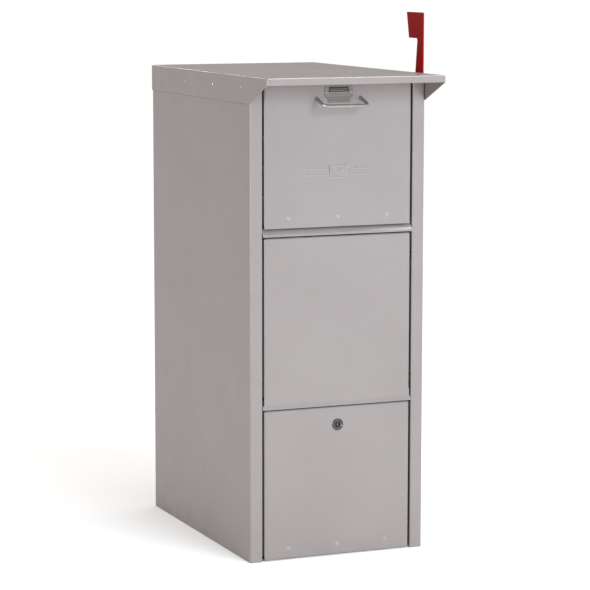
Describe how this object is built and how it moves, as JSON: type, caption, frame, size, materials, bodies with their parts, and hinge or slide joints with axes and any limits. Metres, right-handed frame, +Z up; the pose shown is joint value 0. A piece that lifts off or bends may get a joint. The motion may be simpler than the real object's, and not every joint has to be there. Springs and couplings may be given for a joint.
{
  "type": "free-standing mail and parcel drop box",
  "caption": "Free-standing sheet-steel mail drop box with pull-down drop door and hopper, fixed middle panel, locking collection door, overhanging flat roof and side signal flag.",
  "frame": {"origin": "centre of the four floor anchor holes, on the underside of the floor panel", "axes": "+X to the right seen from the front, +Y from the front face to the back, +Z up"},
  "size_m": [0.3986, 0.6651, 1.099],
  "materials": {
    "silver_coat": "satin light grey powder coat on steel sheet",
    "red_coat": "satin red powder coat on aluminium plate",
    "zinc_plated_steel": "zinc plated",
    "aluminium_rivets": "satin domed rivets",
    "bright_chrome": "polished chrome plate, dulled",
    "nickel_wire": "satin nickel plate",
    "badge_metal": "brushed, blank, dark enamel in its hollows",
    "black_rubber": "matt",
    "nylon": "natural nylon"
  },
  "bodies": {
    "cabinet": {"left_side_panel": "silver_coat", "right_side_panel": "silver_coat", "back_panel": "silver_coat", "back_rivets": "aluminium_rivets", "floor_panel": "silver_coat", "roof_hood": "silver_coat", "roof_rivets_left": "silver_coat", "roof_rivets_right": "silver_coat", "header_channel": "silver_coat", "hinge_rail": "silver_coat", "middle_panel": "silver_coat", "middle_panel_spacers": "black_rubber", "middle_panel_screws": "zinc_plated_steel", "strike_bar": "silver_coat", "door_threshold": "silver_coat", "top_hinge_frame_leaf": "zinc_plated_steel", "top_hinge_pin": "zinc_plated_steel", "top_leaf_rivets": "aluminium_rivets", "bottom_hinge_frame_leaf": "zinc_plated_steel", "bottom_hinge_pin": "zinc_plated_steel", "bottom_leaf_rivets": "aluminium_rivets", "top_door_bumpers": "black_rubber", "bottom_door_bumpers": "black_rubber", "rear_baffle": "silver_coat", "flag_pivot_bolt": "zinc_plated_steel", "flag_spacer": "aluminium_rivets", "flag_washer": "zinc_plated_steel", "flag_nut": "zinc_plated_steel", "flag_stop_pin": "zinc_plated_steel"},
    "drop_door": {"top_door_panel": "silver_coat", "top_door_stiffener": "silver_coat", "top_hinge_door_leaf": "zinc_plated_steel", "top_door_rivets": "aluminium_rivets", "pull_handle": "nickel_wire", "pull_handle_nuts": "zinc_plated_steel", "badge_plate": "badge_metal", "badge_rivets": "aluminium_rivets", "hopper_cheek_left": "silver_coat", "hopper_cheek_right": "silver_coat", "hopper_tray": "silver_coat", "hopper_rivets": "aluminium_rivets"},
    "collection_door": {"bottom_door_panel": "silver_coat", "bottom_door_liner": "silver_coat", "bottom_hinge_door_leaf": "zinc_plated_steel", "bottom_door_rivets": "aluminium_rivets", "lock_housing": "bright_chrome", "lock_nut": "zinc_plated_steel"},
    "lock_core": {"lock_plug": "bright_chrome", "lock_cam": "zinc_plated_steel", "lock_cam_screw": "zinc_plated_steel"},
    "flag": {"signal_flag": "red_coat", "flag_bush": "nylon"}
  },
  "joints": [
    {"name": "drop_door_hinge", "type": "hinge", "parent": "cabinet", "child": "drop_door", "pos_m": [0, -0.28075, 0.6776], "axis": [1, 0, 0], "range_deg": [0, 50]},
    {"name": "collection_door_hinge", "type": "hinge", "parent": "cabinet", "child": "collection_door", "pos_m": [0, -0.28075, 0.0061], "axis": [1, 0, 0], "range_deg": [0, 85]},
    {"name": "lock_turn", "type": "hinge", "parent": "collection_door", "child": "lock_core", "pos_m": [0, -0.28575, 0.271], "axis": [0, -1, 0], "range_deg": [0, 90]},
    {"name": "flag_pivot", "type": "hinge", "parent": "cabinet", "child": "flag", "pos_m": [0.1985, -0.23375, 0.8895], "axis": [-1, 0, 0], "range_deg": [0, 90]}
  ]
}
